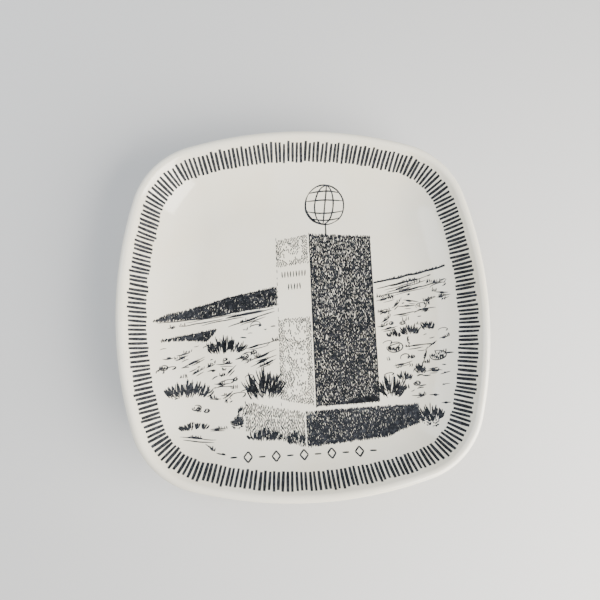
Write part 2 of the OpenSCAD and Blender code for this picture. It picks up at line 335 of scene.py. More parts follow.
def strokes_tree(lay):
    """Draws a pen stroke at each point by its turn, length and width, and lays it on the glaze."""
    tree, given, end = new_tree("pen_strokes", {
        "Glaze": "Object", "Ink": "Float", "Bend": "Float", "Blunt": "Float", "Seed": "Int",
        "Material": "Material"})
    grid = add_node(tree, "GeometryNodeMeshGrid", {
        "Size X": 1.0, "Size Y": 1.0, "Vertices X": 2, "Vertices Y": 4})
    position = tree.nodes.new("GeometryNodeInputPosition").outputs[0]
    along = add_node(tree, "ShaderNodeSeparateXYZ", {"Vector": position}).outputs
    # A stroke narrows towards its ends: blunt ends keep most of the width.
    reach = math_node(tree, "ABSOLUTE", math_node(tree, "MULTIPLY", along["Y"], 2.0))
    ends = math_node(tree, "POWER", reach, 4.0)
    lost = math_node(tree, "MULTIPLY", ends, math_node(tree, "SUBTRACT", 1.0, given["Blunt"]))
    narrow = math_node(tree, "MULTIPLY", along["X"], math_node(tree, "SUBTRACT", 1.0, lost))
    shaped = add_node(tree, "GeometryNodeSetPosition", {
        "Geometry": grid.outputs[0], "Position": vector_of(tree, narrow, along["Y"])}).outputs[0]
    top = store_number(tree, shaped, "lift", 1.0)
    raised = add_node(tree, "GeometryNodeExtrudeMesh", {"Mesh": top, "Offset": (0.0, 0.0, 1.0),
                      "Offset Scale": 1.0, "Individual": False}, mode="FACES").outputs["Mesh"]
    under = add_node(tree, "GeometryNodeFlipFaces", {"Mesh": top}).outputs[0]
    both = tree.nodes.new("GeometryNodeJoinGeometry")
    tree.links.new(raised, both.inputs[0])
    tree.links.new(under, both.inputs[0])
    prism = add_node(tree, "GeometryNodeMergeByDistance", {"Geometry": both.outputs[0], "Distance": 0.001})
    height = add_node(tree, "ShaderNodeSeparateXYZ", {
        "Vector": tree.nodes.new("GeometryNodeInputPosition").outputs[0]}).outputs["Z"]
    stroke = store_number(tree, prism.outputs[0], "lift", height)
    placed = add_node(tree, "GeometryNodeInstanceOnPoints", {
        "Points": given["Geometry"], "Instance": stroke,
        "Rotation": vector_of(tree, z=read_number(tree, "turn")),
        "Scale": vector_of(tree, read_number(tree, "width"), read_number(tree, "length"), 1.0)}).outputs[0]
    real = add_node(tree, "GeometryNodeRealizeInstances", {"Geometry": placed}).outputs[0]
    # The hand isn't steady: every edge of every stroke strays a little.
    position = tree.nodes.new("GeometryNodeInputPosition").outputs[0]
    stray = add_node(tree, "ShaderNodeTexNoise", {
        "Vector": position, "Scale": 900.0, "Detail": 1.0, "W": given["Seed"]}, noise_dimensions="4D")
    centred = add_node(tree, "ShaderNodeVectorMath", {0: stray.outputs["Color"], 1: (0.5, 0.5, 0.5)},
                       operation="SUBTRACT")
    scaled = add_node(tree, "ShaderNodeVectorMath", {0: centred.outputs[0], "Scale": given["Bend"]},
                      operation="SCALE")
    bent = add_node(tree, "GeometryNodeSetPosition", {"Geometry": real, "Offset": scaled.outputs[0]})
    laid = nest(tree, lay, {"Geometry": bent.outputs[0], "Glaze": given["Glaze"], "Ink": given["Ink"]})
    end_tree(tree, end, laid, given["Material"])
    return tree


def hatch_tree(strokes):
    """Covers flat areas with pen strokes and lays them on the glaze.

    Strokes stand closer side by side than end to end, by the stretch. They are dense or open by a noise, by
    a shade that grows in one direction, and by how near the area's edge is."""
    tree, given, end = new_tree("hatching", {
        "Glaze": "Object", "Ink": "Float", "Spacing": "Float", "Stretch": "Float", "Open": "Float",
        "Soft": "Float", "Patch Scale": "Float", "Shade": "Vector", "Edge": "Float", "Edge Reach": "Float",
        "Length": "Float", "Width": "Float", "Slant": "Float", "Spread": "Float", "Swirl": "Float",
        "Bend": "Float", "Seed": "Int", "Material": "Material"})
    area = add_node(tree, "GeometryNodeMergeByDistance", {
        "Geometry": given["Geometry"], "Distance": MM / 100}).outputs[0]
    neighbours = tree.nodes.new("GeometryNodeInputMeshEdgeNeighbors").outputs[0]
    inner = add_node(tree, "FunctionNodeCompare", {2: neighbours, 3: 1}, data_type="INT",
                     operation="GREATER_THAN")
    border = add_node(tree, "GeometryNodeDeleteGeometry", {
        "Geometry": area, "Selection": inner.outputs[0]}, domain="EDGE").outputs[0]
    # Squashing the area along Y before the points are strewn sets the strokes' rows further apart.
    squash = math_node(tree, "DIVIDE", 1.0, given["Stretch"])
    squashed = add_node(tree, "GeometryNodeTransform", {
        "Geometry": area, "Scale": vector_of(tree, 1.0, squash, 1.0)}).outputs[0]
    points = add_node(tree, "GeometryNodeDistributePointsOnFaces", {
        "Mesh": squashed, "Distance Min": given["Spacing"], "Density Max": 2.0e7,
        "Seed": given["Seed"]}, distribute_method="POISSON").outputs["Points"]
    position = tree.nodes.new("GeometryNodeInputPosition").outputs[0]
    stretched = add_node(tree, "ShaderNodeVectorMath", {
        0: position, 1: vector_of(tree, 1.0, given["Stretch"], 1.0)}, operation="MULTIPLY")
    points = add_node(tree, "GeometryNodeSetPosition", {
        "Geometry": points, "Position": stretched.outputs[0]}).outputs[0]
    position = tree.nodes.new("GeometryNodeInputPosition").outputs[0]
    away = add_node(tree, "GeometryNodeProximity", {"Geometry": border}, target_element="EDGES")
    near_edge = add_node(tree, "ShaderNodeMapRange", {
        "Value": away.outputs["Distance"], "From Max": given["Edge Reach"], "To Min": given["Edge"],
        "To Max": 0.0}).outputs[0]
    shade = add_node(tree, "ShaderNodeVectorMath", {0: position, 1: given["Shade"]},
                     operation="DOT_PRODUCT").outputs["Value"]
    tone = noise_at(tree, given["Patch Scale"], 2.0, given["Seed"])
    tone = math_node(tree, "ADD", math_node(tree, "ADD", tone, shade), near_edge)
    chance = random_number(tree, 0.0, 1.0, given["Seed"], 4)
    bare = add_node(tree, "ShaderNodeMapRange", {
        "Value": tone, "From Min": math_node(tree, "SUBTRACT", given["Open"], given["Soft"]),
        "From Max": math_node(tree, "ADD", given["Open"], given["Soft"]),
        "To Min": 1.0, "To Max": 0.0}).outputs[0]
    points = add_node(tree, "GeometryNodeDeleteGeometry", {
        "Geometry": points, "Selection": math_node(tree, "LESS_THAN", chance, bare)}).outputs[0]
    swirl = noise_at(tree, 260.0, 1.0, given["Seed"])
    turn = math_node(tree, "MULTIPLY", math_node(tree, "SUBTRACT", swirl, 0.5), given["Swirl"])
    turn = math_node(tree, "ADD", turn, given["Slant"])
    back = math_node(tree, "MULTIPLY", given["Spread"], -1.0)
    turn = math_node(tree, "ADD", turn, random_number(tree, back, given["Spread"], given["Seed"], 1))
    short = math_node(tree, "MULTIPLY", given["Length"], 0.6)
    thin = math_node(tree, "MULTIPLY", given["Width"], 0.7)
    length = random_number(tree, short, given["Length"], given["Seed"], 2)
    width = random_number(tree, thin, given["Width"], given["Seed"], 3)
    for label, value in (("turn", turn), ("length", length), ("width", width)):
        points = store_number(tree, points, label, value)
    drawn = nest(tree, strokes, {
        "Geometry": points, "Glaze": given["Glaze"], "Ink": given["Ink"], "Bend": given["Bend"],
        "Blunt": 0.45, "Seed": given["Seed"], "Material": given["Material"]})
    end_tree(tree, end, drawn, given["Material"])
    return tree


def tree_named(name):
    """The named tree, built with the trees that it needs the first time."""
    if name not in bpy.data.node_groups:
        builders = {
            "sweep_round_outline": sweep_tree,
            "lay_on_glaze": lay_tree,
            "pen_strokes": lambda: strokes_tree(tree_named("lay_on_glaze")),
            "hatching": lambda: hatch_tree(tree_named("pen_strokes")),
        }
        return builders[name]()
    return bpy.data.node_groups[name]


# ---------------------------------------------------------------- materials

def new_material(name):
    material = bpy.data.materials.new(name)
    material.use_nodes = True
    shader = material.node_tree.nodes["Principled BSDF"]
    return material, material.node_tree, shader


def object_noise(tree, scale, detail=2.0):
    place = tree.nodes.new("ShaderNodeTexCoord").outputs["Object"]
    node = add_node(tree, "ShaderNodeTexNoise", {"Vector": place, "Scale": scale, "Detail": detail})
    return node.outputs[0]


def blend_colours(tree, factor, first, second):
    node = add_node(tree, "ShaderNodeMix", {"Factor": factor}, data_type="RGBA")
    for socket, value in ((node.inputs[6], first), (node.inputs[7], second)):
        if isinstance(value, bpy.types.NodeSocket):
            tree.links.new(value, socket)
        else:
            socket.default_value = (*value, 1.0)
    return node.outputs[2]


def scaled_colour(colour, amount):
    return tuple(channel * amount for channel in colour)


def glaze_material():
    """Glossy off-white glaze with a faint warm mottle, a few iron specks and a soft orange-peel surface."""
    if "fired_glaze" in bpy.data.materials:
        return bpy.data.materials["fired_glaze"]
    colour = tuple(bpy.context.scene.plate_finishes.glaze)
    material, tree, shader = new_material("fired_glaze")
    mottle = add_node(tree, "ShaderNodeMapRange", {
        "Value": object_noise(tree, 45.0, 3.0), "From Min": 0.35, "From Max": 0.65}).outputs[0]
    warm = (colour[0] * 0.985, colour[1] * 0.965, colour[2] * 0.93)
    body = blend_colours(tree, mottle, colour, warm)
    place = tree.nodes.new("ShaderNodeTexCoord").outputs["Object"]
    cells = add_node(tree, "ShaderNodeTexVoronoi", {"Vector": place, "Scale": 95.0, "Randomness": 1.0})
    chance = add_node(tree, "ShaderNodeSeparateColor", {"Color": cells.outputs["Color"]}).outputs[0]
    rare = math_node(tree, "LESS_THAN", chance, 0.035)
    small = math_node(tree, "LESS_THAN", cells.outputs["Distance"], 0.028)
    speck = math_node(tree, "MULTIPLY", math_node(tree, "MULTIPLY", rare, small), 0.55)
    tree.links.new(blend_colours(tree, speck, body, (0.16, 0.12, 0.08)), shader.inputs["Base Color"])
    shader.inputs["Roughness"].default_value = 0.13
    shader.inputs["IOR"].default_value = 1.5
    shader.inputs["Coat Weight"].default_value = 0.35
    shader.inputs["Coat Roughness"].default_value = 0.05
    waves = add_node(tree, "ShaderNodeBump", {
        "Height": object_noise(tree, 60.0, 1.0), "Strength": 0.12, "Distance": 0.6 * MM})
    peel = add_node(tree, "ShaderNodeBump", {
        "Height": object_noise(tree, 900.0, 1.0), "Strength": 0.08, "Distance": 0.05 * MM,
        "Normal": waves.outputs[0]})
    tree.links.new(peel.outputs[0], shader.inputs["Normal"])
    return material


def foot_material():
    """Glazed above and bare, slightly rough clay along the bearing edge, where the glaze is wiped off."""
    finishes = bpy.context.scene.plate_finishes
    material, tree, shader = new_material("wiped_foot")
    place = tree.nodes.new("ShaderNodeTexCoord").outputs["Object"]
    height = add_node(tree, "ShaderNodeSeparateXYZ", {"Vector": place}).outputs["Z"]
    ragged = math_node(tree, "MULTIPLY", object_noise(tree, 500.0, 3.0), 0.9 * MM)
    glazed = add_node(tree, "ShaderNodeMapRange", {
        "Value": math_node(tree, "SUBTRACT", height, ragged), "From Min": 0.35 * MM,
        "From Max": 0.6 * MM}).outputs[0]
    grain = add_node(tree, "ShaderNodeMapRange", {
        "Value": object_noise(tree, 1400.0, 4.0), "From Min": 0.3, "From Max": 0.7}).outputs[0]
    clay = blend_colours(tree, grain, tuple(finishes.clay), scaled_colour(finishes.clay, 0.82))
    tree.links.new(blend_colours(tree, glazed, clay, tuple(finishes.glaze)), shader.inputs["Base Color"])
    rough = add_node(tree, "ShaderNodeMapRange", {"Value": glazed, "To Min": 0.85, "To Max": 0.14}).outputs[0]
    tree.links.new(rough, shader.inputs["Roughness"])
    bump = add_node(tree, "ShaderNodeBump", {"Height": grain, "Strength": 0.3, "Distance": 0.08 * MM})
    tree.links.new(bump.outputs[0], shader.inputs["Normal"])
    return material


def clay_material():
    """The fired clay under the glaze."""
    finishes = bpy.context.scene.plate_finishes
    material, tree, shader = new_material("fired_clay")
    grain = object_noise(tree, 1400.0, 4.0)
    colour = blend_colours(tree, grain, tuple(finishes.clay), scaled_colour(finishes.clay, 0.8))
    tree.links.new(colour, shader.inputs["Base Color"])
    shader.inputs["Roughness"].default_value = 0.85
    return material


def ink_material():
    """Fired ink: near black and nearly matt, a little thin here and there."""
    if "fired_ink" in bpy.data.materials:
        return bpy.data.materials["fired_ink"]
    colour = tuple(bpy.context.scene.plate_finishes.ink)
    material, tree, shader = new_material("fired_ink")
    thin = add_node(tree, "ShaderNodeMapRange", {
        "Value": object_noise(tree, 700.0, 3.0), "From Min": 0.45, "From Max": 0.8}).outputs[0]
    faded = (colour[0] + 0.05, colour[1] + 0.052, colour[2] + 0.058)
    tree.links.new(blend_colours(tree, thin, colour, faded), shader.inputs["Base Color"])
    shader.inputs["Roughness"].default_value = 0.6
    shader.inputs["Specular IOR Level"].default_value = 0.15
    return material


# ---------------------------------------------------------------- the CAD films as drawing guides

def islands(node):
    """The separate solids of a CAD film, each as an array of the plan points of its corners, in metres."""
    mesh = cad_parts[node].data
    corners = np.array([v.co for v in mesh.vertices])
    names = {}
    same = np.array([names.setdefault(tuple(np.round(p, 6)), len(names)) for p in corners])
    parent = list(range(len(names)))

    def root(i):
        while parent[i] != i:
            parent[i] = parent[parent[i]]
            i = parent[i]
        return i

    for face in mesh.polygons:
        first = root(same[face.vertices[0]])
        for v in face.vertices[1:]:
            parent[root(same[v])] = first
    groups = {}
    for i, point in enumerate(corners):
        groups.setdefault(root(same[i]), []).append(point[:2])
    shapes = [np.array(points) for points in groups.values()]
    return sorted(shapes, key=lambda points: tuple(np.round(points.mean(0), 5)))


def ends_of(points):
    """The two ends of a long thin island, left end first."""
    middle = points.mean(0)
    axis = np.linalg.eigh(np.cov((points - middle).T))[1][:, -1]
    if axis[0] < 0:
        axis = -axis
    along = (points - middle) @ axis
    return middle + axis * along.min(), middle + axis * along.max()


def film_area(name, node):
    """A piece that holds only the upper faces of a CAD film, for hatching."""
    vertices, faces = [], []
    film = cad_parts[node].data
    for face in film.polygons:
        if face.normal.z > 0.4:
            start = len(vertices)
            vertices += [film.vertices[v].co[:] for v in face.vertices]
            faces.append(tuple(range(start, start + len(face.vertices))))
    mesh = bpy.data.meshes.new(name)
    mesh.from_pydata(vertices, [], faces)
    return bpy.data.objects.new(name, mesh)


# ---------------------------------------------------------------- the pen

class Pen:
    """Collects hand-drawn strokes as flat closed ribbons, in metres, until they are laid on the glaze.

    A long stroke is drawn in straight pieces one step long."""
    step = 1.4 * MM

    def __init__(self, seed):
        self.rng = random.Random(seed)
        self.vertices = []
        self.faces = []

    def stroke(self, points, width, taper=0.45, wobble=0.12 * MM):
        """One stroke along points, which narrows to taper of its width at both ends."""
        path = [Vector((p[0], p[1], 0.0)) for p in points]
        length = sum((b - a).length for a, b in zip(path, path[1:]))
        path = self.resampled(path, min(self.step, length / 3))
        offset = self.rng.uniform(0, 90)
        count = len(path)
        start = len(self.vertices)
        for i, point in enumerate(path):
            ahead = path[min(i + 1, count - 1)] - path[max(i - 1, 0)]
            across = Vector((-ahead.y, ahead.x, 0.0)).normalized()
            stray = noise.noise(point * 180 + Vector((0, 0, offset))) * wobble
            end = abs(2 * i / (count - 1) - 1) ** 3
            half = width / 2 * (1 - (1 - taper) * end)
            half *= 1 + 0.22 * noise.noise(point * 600 + Vector((0, 0, offset + 5)))
            middle = point + across * stray
            for lift in (0.0, 1.0):
                self.vertices.append((*(middle + across * half)[:2], lift))
                self.vertices.append((*(middle - across * half)[:2], lift))
        for i in range(count - 1):
            a, b = start + 4 * i, start + 4 * i + 4
            self.faces += [(a + 2, a + 3, b + 3, b + 2), (a + 1, a, b, b + 1),
                           (a, a + 2, b + 2, b), (a + 3, a + 1, b + 1, b + 3)]
        last = start + 4 * (count - 1)
        self.faces += [(start, start + 1, start + 3, start + 2), (last + 1, last, last + 2, last + 3)]

    def resampled(self, path, step):
        """The path at even steps, always with its two ends."""
        out = [path[0]]
        for a, b in zip(path, path[1:]):
            pieces = max(1, round((b - a).length / step))
            out += [a.lerp(b, (k + 1) / pieces) for k in range(pieces)]
        return out

    def curve(self, a, b, sag, width, **style):
        """A bowed stroke from a to b, with its middle sag to the left of the straight line."""
        a, b = Vector((a[0], a[1])), Vector((b[0], b[1]))
        side = Vector((a.y - b.y, b.x - a.x)).normalized() if (b - a).length else Vector((0, 0))
        steps = 8
        points = []
        for i in range(steps + 1):
            t = i / steps
            points.append(a.lerp(b, t) + side * sag * 4 * t * (1 - t))
        self.stroke(points, width, **style)

    def arc(self, centre, radii, start, end, width, tilt=0.0, **style):
        """Part of an ellipse, from one angle to another in degrees."""
        turn = Matrix.Rotation(tilt, 2)
        steps = max(6, int(abs(end - start) / 12))
        points = []
        for i in range(steps + 1):
            a = math.radians(start + (end - start) * i / steps)
            spoke = Vector((radii[0] * math.cos(a), radii[1] * math.sin(a)))
            points.append(Vector(centre[:2]) + turn @ spoke)
        self.stroke(points, width, **style)

    def piece(self, name):
        """The strokes drawn so far, laid on the glaze as one piece."""
        mesh = bpy.data.meshes.new(name)
        mesh.from_pydata([(x, y, 0.0) for x, y, lift in self.vertices], [], self.faces)
        lifts = mesh.attributes.new("lift", "FLOAT", "POINT")
        lifts.data.foreach_set("value", [lift for x, y, lift in self.vertices])
        piece = bpy.data.objects.new(name, mesh)
        return apply_tree(piece, tree_named("lay_on_glaze"), **laying())


def laying():
    """What every laid stroke needs: the glaze that it lies on and how thick the ink is."""
    return {"Glaze": bpy.data.objects[GLAZE], "Ink": bpy.context.scene.plate_pens.ink}


def hatched(name, node, **style):
    """A hatched piece over the film of a CAD node."""
    pens = bpy.context.scene.plate_pens
    values = {"Spacing": 0.44 * MM, "Stretch": 2.4, "Open": 0.1, "Soft": 0.1, "Patch Scale": 150.0,
              "Shade": (0.0, 0.0, 0.0), "Edge": 0.0, "Edge Reach": 2 * MM, "Length": 2.1 * MM,
              "Width": pens.hatch, "Slant": 0.0, "Spread": 0.2, "Swirl": 1.2, "Bend": 0.45 * MM,
              "Seed": pens.seed}
    values.update({label.replace("_", " "): value for label, value in style.items()})
    area = film_area(name, node)
    return apply_tree(area, tree_named("hatching"), Material=ink_material(), **laying(), **values)


def hand_in(piece, slot, *nodes):
    """Names a finished piece's place in the part: what it rides on, stands for and is made of."""
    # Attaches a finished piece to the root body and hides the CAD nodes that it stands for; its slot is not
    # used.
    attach(piece, "root")
    if nodes:
        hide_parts(*nodes)
    return piece


# ---------------------------------------------------------------- operators

def arc_steps(centre, radius, start, end, steps):
    """Points along an arc in the section, from start to end in radians."""
    angles = np.linspace(start, end, steps + 1)
    return [(centre[0] + radius * math.cos(a), centre[1] + radius * math.sin(a)) for a in angles]


class PLATE_OT_glaze(bpy.types.Operator):
    """Makes the glaze coats on the face and on the underside"""
    bl_idname = "plate.glaze"
    bl_label = "Glaze coats"

    def execute(self, context):
        sizes = context.scene.plate_dish
        lip = sizes.wall / 2
        run = sizes.floor_inset - lip
        rise = sizes.rim_height - lip - sizes.floor_height
        cove = (run ** 2 + rise ** 2 - lip ** 2) / (2 * (rise + lip))
        centre = (sizes.floor_inset, sizes.floor_height + cove)
        down = -math.pi / 2
        lip_angle = down - math.asin(run / (cove + lip))
        outer = cove + sizes.wall
        self.sweep(GLAZE, self.face_section(sizes, centre, cove, outer, lip, lip_angle), "face_glaze")
        self.sweep("base_coat", self.base_section(sizes, centre, outer), "base_glaze")
        return {"FINISHED"}

    def face_section(self, sizes, centre, cove, outer, lip, lip_angle):
        """Over the floor's edge, the cove and the lip, down the outside, and back under the coat."""
        down = -math.pi / 2
        coat, pool = sizes.coat, sizes.pool_outside
        lip_at = arc_steps(centre, cove + lip, lip_angle, lip_angle, 0)[0]
        over = lip_angle + math.pi
        pool_x = sizes.foot_outside - pool
        pool_at = (pool_x, centre[1] - math.sqrt((outer + pool) ** 2 - (pool_x - centre[0]) ** 2))
        pool_top = math.atan2(centre[1] - pool_at[1], centre[0] - pool_at[0])
        meets = pool_top - math.pi
        inside = sizes.foot_outside + coat
        skin = outer - coat
        skin_end = down - math.asin((centre[0] - inside) / skin)
        return (arc_steps(centre, cove, down, lip_angle, 34)
                + arc_steps(lip_at, lip, over, over + math.pi, 18)[1:]
                + arc_steps(centre, outer, lip_angle, meets, 18)[1:]
                + arc_steps(pool_at, pool, pool_top, 0.0, 8)[1:]
                + [(inside, pool_at[1] + coat / 2)]
                + arc_steps(centre, skin, skin_end, lip_angle, 14)
                + arc_steps(lip_at, lip - coat, over + math.pi, over, 10)[1:]
                + arc_steps(centre, cove + coat, lip_angle, down, 20)[1:])

    def base_section(self, sizes, centre, outer):
        """Inside the coat from the flat to the ring's inner face, and back along the underside."""
        down = -math.pi / 2
        coat, pool = sizes.coat, sizes.pool_inside
        ring = sizes.foot_outside + sizes.foot_width
        pool_x = ring + pool
        pool_at = (pool_x, centre[1] - math.sqrt((outer + pool) ** 2 - (pool_x - centre[0]) ** 2))
        pool_top = math.atan2(centre[1] - pool_at[1], centre[0] - pool_at[0])
        inside = ring - coat
        skin = outer - coat
        skin_end = down - math.asin((centre[0] - inside) / skin)
        return (arc_steps(centre, skin, down, skin_end, 8)
                + [(inside, pool_at[1] + coat / 2)]
                + arc_steps(pool_at, pool, math.pi, pool_top, 8)
                + arc_steps(centre, outer, pool_top - math.pi, down, 6)[1:])

    def sweep(self, name, section, node):
        sizes = bpy.context.scene.plate_dish
        mesh = bpy.data.meshes.new(name)
        links = [(i, i + 1) for i in range(len(section) - 1)]
        mesh.from_pydata([(-inset, -height, 0.0) for inset, height in section], links, [])
        coat = bpy.data.objects.new(name, mesh)
        values = {"Half Width": sizes.half_width, "Corner Radius": sizes.corner_radius,
                  "Corner Points": 54, "Side Points": 31, "Material": glaze_material()}
        coat = apply_tree(coat, tree_named("sweep_round_outline"), **values)
        hand_in(coat, "glaze", node)


class PLATE_OT_clay(bpy.types.Operator):
    """Gives the clay body and the foot ring their fired clay and wiped glaze"""
    bl_idname = "plate.clay"
    bl_label = "Clay body and foot"

    def execute(self, context):
        foot = foot_material()
        fired = {"biscuit_body": clay_material(), "foot_sides": foot, "foot_corners": foot}
        for node, material in fired.items():
            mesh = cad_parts[node].data
            mesh.materials.clear()
            mesh.materials.append(material)
        return {"FINISHED"}


class PLATE_OT_border(bpy.types.Operator):
    """Draws the row of short strokes under the lip"""
    bl_idname = "plate.border"
    bl_label = "Border strokes"

    def execute(self, context):
        pens = context.scene.plate_pens
        rng = random.Random(pens.seed)
        places, turns, lengths, widths = [], [], [], []
        for points in islands("border_strokes"):
            a, b = ends_of(points)
            middle = (a + b) / 2
            heading = math.atan2(b[1] - a[1], b[0] - a[0]) - math.pi / 2
            side = Vector((math.cos(heading), math.sin(heading), 0.0))
            along = Vector((-side.y, side.x, 0.0))
            place = Vector((*middle, 0.0))
            place += side * rng.gauss(0, 0.1 * MM) + along * rng.gauss(0, 0.16 * MM)
            places.append(place[:])
            turns.append(heading + rng.gauss(0, pens.tilt / 2))
            lengths.append(np.linalg.norm(b - a) * rng.uniform(0.93, 1.06))
            widths.append(pens.border * rng.uniform(0.88, 1.08))
        mesh = bpy.data.meshes.new("border_strokes_ink")
        mesh.from_pydata(places, [], [])
        for label, values in (("turn", turns), ("length", lengths), ("width", widths)):
            mesh.attributes.new(label, "FLOAT", "POINT").data.foreach_set("value", values)
        border = bpy.data.objects.new("border_strokes_ink", mesh)
        border = apply_tree(border, tree_named("pen_strokes"), Bend=0.3 * MM, Blunt=0.8, Seed=pens.seed,
                            Material=ink_material(), **laying())
        hand_in(border, "ink", "border_strokes")
        return {"FINISHED"}


class PLATE_OT_globe(bpy.types.Operator):
    """Draws the wire globe and its stem"""
    bl_idname = "plate.globe"
    bl_label = "Wire globe"

    def execute(self, context):
        pens = context.scene.plate_pens
        pen = Pen(pens.seed + 1)
        low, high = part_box("globe_wires")
        centre = (low + high) / 2
        radius = (high.x - low.x) / 2
        line = pens.line
        pen.arc(centre, (radius, radius), -70, 150, line * 1.25, wobble=0.25 * MM)
        pen.arc(centre, (radius * 0.99, radius), 148, 292, line * 1.6, wobble=0.25 * MM)
        pen.arc(centre, (radius * 0.95, radius * 0.96), 190, 262, line * 1.1)
        # Level wires sag or rise with the curve of the globe.
        for level, bow in ((0.62, 0.10), (0.22, 0.06), (-0.3, -0.10), (-0.66, -0.12)):
            reach = radius * math.sqrt(1 - level ** 2) * 0.97
            y = centre.y + level * radius
            pen.curve((centre.x - reach, y), (centre.x + reach, y), bow * radius, line * 1.25)
        for lean, start, end in ((0.45, -88, 88), (-0.5, 92, 268), (0.02, -86, 86)):
            pen.arc(centre, (radius * abs(lean), radius * 0.97), start, end, line * 1.25, tilt=-0.12)
        hand_in(pen.piece("globe_wires_ink"), "ink", "globe_wires")
        stem = Pen(pens.seed + 2)
        low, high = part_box("globe_stem")
        middle = (low.x + high.x) / 2
        for shift in (-0.12 * MM, 0.1 * MM):
            stem.stroke([(middle + shift, high.y + MM), (middle - shift, low.y - MM)], line * 1.1)
        hand_in(stem.piece("globe_stem_ink"), "ink", "globe_stem")
        return {"FINISHED"}


class PLATE_OT_pillar(bpy.types.Operator):
    """Hatches the pillar's two faces and draws its outline and the ticks on its bare panel"""
    bl_idname = "plate.pillar"
    bl_label = "Pillar"

    def execute(self, context):
        pens = context.scene.plate_pens
        dark = hatched("pillar_dark_hatching", "pillar_dark_face", Seed=pens.seed + 11)
        hand_in(dark, "ink_dense", "pillar_dark_face")
        second = hatched("pillar_dark_second_hatching", "pillar_dark_face", Open=0.34, Soft=0.3, Edge=0.3,
                         Shade=(5.0, -6.0, 0.0), Length=1.9 * MM, Seed=pens.seed + 12)
        hand_in(second, "ink_dense")
        light = hatched("pillar_light_stipple", "pillar_light_face", Spacing=0.6 * MM, Stretch=1.4,
                        Open=0.54, Soft=0.16, Patch_Scale=170.0, Edge=0.6, Edge_Reach=3 * MM,
                        Length=1.3 * MM, Width=pens.stipple, Swirl=3.0, Seed=pens.seed + 13)
        hand_in(light, "ink_light", "pillar_light_face")
        self.edges(pens)
        self.ticks(pens)
        return {"FINISHED"}

    def edges(self, pens):
        """The outline of the pillar, broken on the light side, and the shadow at its foot."""
        pen = Pen(pens.seed + 13)
        low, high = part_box("pillar_dark_face")
        left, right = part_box("pillar_light_face")
        line = pens.line * 0.7
        pen.stroke([(low.x, low.y), (low.x, high.y)], line)
        pen.stroke([(high.x, low.y + MM), (high.x, high.y - 2 * MM)], line)
        pen.stroke([(low.x, low.y), (high.x, low.y + MM)], line * 1.6)
        # The shadow at the foot is a stack of lines that grow shorter upwards.
        for k in range(5):
            y = low.y + (0.7 + 0.5 * k) * MM
            start = high.x - (20 - 2.5 * k) * MM
            pen.stroke([(start, y), (high.x - 0.3 * MM, y + 0.4 * MM)], line * 1.8)
        dash_pitch = 3.2 * MM
        for y in np.arange(left.y, right.y, dash_pitch):
            pen.stroke([(left.x, y), (left.x, y + pen.rng.uniform(0.8, 2.4) * MM)], line * 0.8)
        hand_in(pen.piece("pillar_outline_ink"), "ink")

    def ticks(self, pens):
        """Plain upright ticks on the bare panel."""
        pen = Pen(pens.seed + 14)
        for points in islands("panel_ticks"):
            low, high = points.min(0), points.max(0)
            middle = (low[0] + high[0]) / 2
            lean = pen.rng.uniform(-0.15, 0.15) * MM
            pen.stroke([(middle + lean, high[1]), (middle - lean, low[1])], pens.line)
        hand_in(pen.piece("panel_ticks_ink"), "ink", "panel_ticks")


class PLATE_OT_plinth(bpy.types.Operator):
    """Hatches the plinth's two faces"""
    bl_idname = "plate.plinth"
    bl_label = "Plinth"

    def execute(self, context):
        pens = context.scene.plate_pens
        dark = hatched("plinth_dark_hatching", "plinth_dark_face", Seed=pens.seed + 21)
        hand_in(dark, "ink_dense", "plinth_dark_face")
        second = hatched("plinth_second_hatching", "plinth_dark_face", Open=0.25, Soft=0.3,
                         Shade=(5.0, 0.0, 0.0), Length=2.1 * MM, Seed=pens.seed + 22)
        hand_in(second, "ink_dense")
        light = hatched("plinth_light_hatching", "plinth_light_face", Spacing=0.6 * MM, Stretch=2.0,
                        Open=0.5, Soft=0.18, Edge=0.3, Shade=(-6.0, -6.0, 0.0), Length=1.8 * MM,
                        Width=pens.stipple, Swirl=1.4, Seed=pens.seed + 23)
        hand_in(light, "ink_light", "plinth_light_face")
        return {"FINISHED"}


